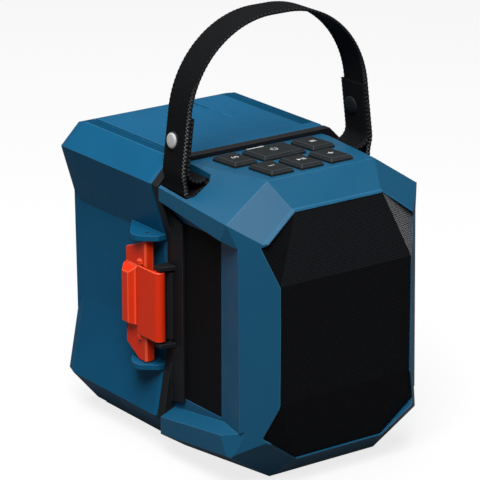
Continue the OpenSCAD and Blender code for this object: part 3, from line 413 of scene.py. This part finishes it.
def ribbon(name, path, y_mid, width, thick, material):
    """Woven band along path, a list of (x, z) points in millimetres, with braided selvedges."""
    path = even_steps(path, WEB_STEP)
    t = thick / 2
    verts, uvs, faces = [], [], []
    run = 0.0
    n = 24
    for i, p in enumerate(path):
        a = path[max(i - 1, 0)]
        b = path[min(i + 1, len(path) - 1)]
        d = Vector((b[0] - a[0], b[1] - a[1])).normalized()
        nx, nz = -d.y, d.x
        half = width / 2 - (0.0 if i // 2 % 2 else WEB_NOTCH)
        ring = [(-half + 0.6, -t), (-half, -t * 0.5), (-half, t * 0.5), (-half + 0.6, t)]
        ring += [(-half + 0.6 + (2 * half - 1.2) * k / 9, t) for k in range(1, 9)]
        ring += [(half - 0.6, t), (half, t * 0.5), (half, -t * 0.5), (half - 0.6, -t)]
        ring += [(half - 0.6 - (2 * half - 1.2) * k / 9, -t) for k in range(1, 9)]
        if i:
            run += math.dist(p, path[i - 1])
        for across, off in ring:
            verts.append(((p[0] + nx * off) * MM, (y_mid + across) * MM, (p[1] + nz * off) * MM))
            uvs.append((across, run))
    for i in range(len(path) - 1):
        for j in range(n):
            k = (j + 1) % n
            faces.append((i * n + j, i * n + k, (i + 1) * n + k, (i + 1) * n + j))
    faces.append(tuple(reversed(range(n))))
    faces.append(tuple((len(path) - 1) * n + j for j in range(n)))
    o = mesh_object(name, verts, faces, material, uvs)
    o.data.polygons.foreach_set("use_smooth", [True] * len(o.data.polygons))
    bm = bmesh.new()
    bm.from_mesh(o.data)
    bmesh.ops.recalc_face_normals(bm, faces=bm.faces)
    bm.to_mesh(o.data)
    bm.free()
    return o


def arc(cx, cz, r, a0, a1, n):
    return [(cx + r * math.cos(math.radians(a0 + (a1 - a0) * i / n)),
             cz + r * math.sin(math.radians(a0 + (a1 - a0) * i / n))) for i in range(n + 1)]


def straight(a, b, n):
    return [(a[0] + (b[0] - a[0]) * i / n, a[1] + (b[1] - a[1]) * i / n) for i in range(n + 1)]


def smooth_path(points, times=2):
    for _ in range(times):
        out = [points[0]]
        for a, b in zip(points, points[1:]):
            out.append((a[0] * 0.75 + b[0] * 0.25, a[1] * 0.75 + b[1] * 0.25))
            out.append((a[0] * 0.25 + b[0] * 0.75, a[1] * 0.25 + b[1] * 0.75))
        out.append(points[-1])
        points = out
    return points


# Strap in millimetres, as in the solids: arch radius to the outer face, top flat, height of the arch's middle and
# lean of the legs, then place, widths and thickness, then the rods and the tails' top
S_R, S_FLAT, S_MID, S_LEAN = 65.0, 11.4, 225.5, math.radians(7)
S_Y, S_W, TAIL_W, S_T = -24.325, 24.0, 25.0, 2.0
ROD, ROD_R, TAIL_TOP = (57.8, 188.2), 1.5, 231.5
loop = ROD_R + 0.1 + S_T / 2


def leg_x(d, z):
    return S_FLAT / 2 + (S_R - d) / math.cos(S_LEAN) + (S_MID - z) * math.tan(S_LEAN)


def mirror_x(points):
    return [(-x, z) for x, z in points]


# Right half of the main band: round the rod's underside, out to the notch's edge, up and over
tangent = S_MID + (S_R - 1) * math.sin(S_LEAN)
foot = arc(ROD[0], ROD[1], loop, 100, 280, 14)
foot += smooth_path([foot[-1], (62.5, 184.0), (68.5, 180.6), (72.0, 180.8), (72.0, 187.0),
                     (leg_x(1, 195), 195.0), (leg_x(1, 202), 202.0)])[1:]
leg = straight((leg_x(1, 203), 203.0), (leg_x(1, tangent), tangent), 20)
over = arc(S_FLAT / 2, S_MID, S_R - 1, 7, 90, 48)[1:]
right = foot + leg + over
band = right + list(reversed(mirror_x(right)))
seam = run_of(foot) + TAIL_TOP - 203.0
WEB = webbing("webbing", "0f1012", S_W / 2, "868889", (run_of(band), run_of(foot) - 22.0, seam))
WEB_TAIL = webbing("webbing_tail", "0f1012", TAIL_W / 2, "35373a", None, True)
strap = ribbon("strap_webbing", band, S_Y, S_W, S_T, WEB)
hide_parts("strap_arch", "strap_end_left", "strap_end_right")
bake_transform(strap)

# Doubled tails inside the legs, held by the rivets
for side, tag in ((1, "right"), (-1, "left")):
    tail = arc(ROD[0], ROD[1], loop, 100, 40, 6)
    tail += smooth_path([tail[-1], (64.0, 189.6), (68.6, 191.5), (leg_x(3, 196) - 0.2, 196.0),
                         (leg_x(3, 202), 202.0)])[1:]
    tail += straight((leg_x(3, 203), 203.0), (leg_x(3, TAIL_TOP), TAIL_TOP), 18)
    pts = tail if side > 0 else mirror_x(tail)
    o = ribbon("strap_tail_" + tag, pts, S_Y, TAIL_W, S_T - 0.1, WEB_TAIL)
    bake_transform(o)


# Lip of the cover's seal: stands on the seal and closes the seam between frame and cover
LIP_H = 0.27 * MM
bm = bmesh.new()
bm.from_mesh(NODES["cover_seal"].data)
bmesh.ops.remove_doubles(bm, verts=bm.verts, dist=0.00001)
bmesh.ops.delete(bm, geom=[f for f in bm.faces if f.normal.y < 0.9], context="FACES")
top_faces = bmesh.ops.extrude_face_region(bm, geom=list(bm.faces))
raised = [v for v in top_faces["geom"] if isinstance(v, bmesh.types.BMVert)]
bmesh.ops.translate(bm, verts=raised, vec=(0, LIP_H, 0))
bmesh.ops.recalc_face_normals(bm, faces=bm.faces)
lip = mesh_object("seal_lip", [], [], FOOT)
bm.to_mesh(lip.data)
bm.free()
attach(lip, "speaker")


# Marks on the key tops, drawn in the deck's own plane
TILT = math.radians(2.35552)
DECK = Vector((0.0, -43.725, 196.05))
# Height of the key tops, middle of the two rows, half the distance between them, and the print's upper and lower face
KEY_TOP, ROWS, ROW_OFF = 3.2, -1.2, 15.5
INK_UP, INK_LOW = 0.12, -0.15
PLACES = {"key_pair": (-30.75, 1), "key_power": (0.0, 1), "key_mode": (30.75, 1),
          "key_volume_down": (-25.3, -1), "key_play": (-2.0, -1), "key_volume_up": (21.3, -1)}


def on_key(key, x, y, lift):
    kx, row = PLACES[key]
    lx, ly, lz = kx + x, ROWS + row * ROW_OFF + y, KEY_TOP + lift
    return (lx * MM, (DECK.y + ly * math.cos(TILT) + lz * math.sin(TILT)) * MM,
            (DECK.z - ly * math.sin(TILT) + lz * math.cos(TILT)) * MM)


def mark(key, outlines, name):
    """Raised print made of filled outlines in the key's own millimetres."""
    verts, faces = [], []
    for pts in outlines:
        k, n = len(verts), len(pts)
        verts += [on_key(key, x, y, INK_UP) for x, y in pts]
        verts += [on_key(key, x, y, INK_LOW) for x, y in pts]
        faces.append(tuple(range(k, k + n)))
        faces += [(k + i, k + n + i, k + n + (i + 1) % n, k + (i + 1) % n) for i in range(n)]
    o = mesh_object(name, verts, faces, MARK)
    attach(o, key)


def bar(cx, cy, w, h):
    return [(cx + i * w / 2, cy + j * h / 2) for i, j in ((-1, -1), (1, -1), (1, 1), (-1, 1))]


def ring_part(r, t, a0, a1, n=14):
    return arc(0.0, 0.0, r, a0, a1, n) + arc(0.0, 0.0, r - t, a1, a0, n)


triangle = [(-2.6, -1.8), (0.2, 0.0), (-2.6, 1.8)]
waves = [ring_part(2.4, 0.55, -50, 50), ring_part(2.4, 0.55, 130, 230)]
mark("key_volume_up", [bar(0, 0, 4.2, 0.7), bar(0, 1.25, 0.7, 1.8), bar(0, -1.25, 0.7, 1.8)], "mark_plus")
mark("key_volume_down", [bar(0, 0, 4.2, 0.7)], "mark_minus")
mark("key_play", [triangle, bar(1.3, 0, 0.7, 3.4), bar(2.7, 0, 0.7, 3.4)], "mark_play")
mark("key_power", [ring_part(2.6, 0.5, 120, 420), bar(0, 2.1, 0.5, 1.8), bar(-7.5, 10.2, 13.0, 1.1)],
     "mark_power")
mark("key_pair", [ring_part(0.9, 0.9, 0, 359)] + waves, "mark_pair")
mark("key_mode", [bar(0, 1.3, 4.0, 0.55), bar(0, 0, 4.0, 0.55), bar(0, -1.3, 4.0, 0.55)], "mark_mode")


# Stage: pale floor, white surroundings, soft light from above. The camera sees a white world and a floor that is
# mostly white but keeps the shadow; other rays meet a darker floor, so that it throws little light back
FLOOR_HALF, FLOOR_DARK, FLOOR_PALE = 6.0, (0.1, 0.1, 0.1, 1), (0.9, 0.9, 0.9, 1)
FLOOR_WHITE, FLOOR_GLOSS = 0.8, 0.05
AMBIENT, WORLD_GLOSS = 0.08, 0.1
floor_graph = Graph("floor")
lp = floor_graph.add("ShaderNodeLightPath")
seen = floor_graph.math("MAXIMUM", lp.outputs["Is Camera Ray"], lp.outputs["Is Transmission Ray"])
pale = floor_graph.blend(seen, FLOOR_DARK, FLOOR_PALE)
seen = floor_graph.math("MULTIPLY", seen, FLOOR_WHITE)
shine = floor_graph.math("MULTIPLY", lp.outputs["Is Glossy Ray"], FLOOR_GLOSS)
seen = floor_graph.math("MAXIMUM", seen, shine)
floor_graph.finish(pale, 0.9, None, FLOOR_DARK)
glow = floor_graph.add("ShaderNodeEmission", {"Color": (1, 1, 1, 1), "Strength": 1.0})
mix = floor_graph.add("ShaderNodeMixShader", {0: seen})
floor_graph.tree.links.new(floor_graph.bsdf.outputs[0], mix.inputs[1])
floor_graph.tree.links.new(glow.outputs[0], mix.inputs[2])
out = floor_graph.tree.nodes["Material Output"]
floor_graph.tree.links.new(mix.outputs[0], out.inputs["Surface"])
rim = [(x, y, 0) for x, y in bar(0, 0, 2 * FLOOR_HALF, 2 * FLOOR_HALF)]
ground = mesh_object("floor", rim, [(0, 1, 2, 3)], floor_graph.mat)
ground.location.z = -0.0002

world = bpy.data.worlds.new("studio")
bpy.context.scene.world = world
world.use_nodes = True
wt = world.node_tree
bg = wt.nodes["Background"]
wl = wt.nodes.new("ShaderNodeLightPath")
top = wt.nodes.new("ShaderNodeMath")
top.operation = "MAXIMUM"
wt.links.new(wl.outputs["Is Camera Ray"], top.inputs[0])
wt.links.new(wl.outputs["Is Transmission Ray"], top.inputs[1])
level = wt.nodes.new("ShaderNodeMapRange")
level.inputs["To Min"].default_value = AMBIENT
level.inputs["To Max"].default_value = 1.0
both = wt.nodes.new("ShaderNodeMath")
both.operation = "MULTIPLY_ADD"
wt.links.new(wl.outputs["Is Glossy Ray"], both.inputs[0])
both.inputs[1].default_value = WORLD_GLOSS
wt.links.new(top.outputs[0], both.inputs[2])
wt.links.new(both.outputs[0], level.inputs["Value"])
wt.links.new(level.outputs["Result"], bg.inputs["Strength"])
bg.inputs["Color"].default_value = (1, 1, 1, 1)


def lamp(name, at, target, size, power):
    data = bpy.data.lights.new(name, "AREA")
    data.shape = "DISK"
    data.size = size
    data.energy = power
    o = bpy.data.objects.new(name, data)
    o.location = at
    o.rotation_euler = (Vector(target) - Vector(at)).to_track_quat("-Z", "Y").to_euler()
    bpy.context.scene.collection.objects.link(o)


lamp("key_light", (-0.75, -0.85, 1.65), (0, 0, 0.12), 1.1, 34)
lamp("top_light", (-0.1, 0.2, 1.9), (0, 0, 0.1), 2.2, 29)

# Camera as solved from the photo's corners: focal length and picture width in pixels, sensor in millimetres
FOCAL_PX, PICTURE_PX, SENSOR = 2961.8, 480, 36.0
cam_data = bpy.data.cameras.new("camera")
cam_data.sensor_width = SENSOR
cam_data.lens = FOCAL_PX / PICTURE_PX * SENSOR
cam_data.clip_start = 0.01
cam = bpy.data.objects.new("camera", cam_data)
back = Vector((-0.5575, -0.7674, 0.3167)).normalized()
side_v = Vector((0, 0, 1)).cross(back).normalized()
up_v = back.cross(side_v)
rot = Matrix((side_v, up_v, back)).transposed()
cam.matrix_world = Matrix.Translation(Vector((-1.0776, -1.475775, 0.7399))) @ rot.to_4x4()
bpy.context.scene.collection.objects.link(cam)
bpy.context.scene.camera = cam
bpy.context.scene.view_settings.view_transform = "Standard"

bpy.context.view_layer.update()
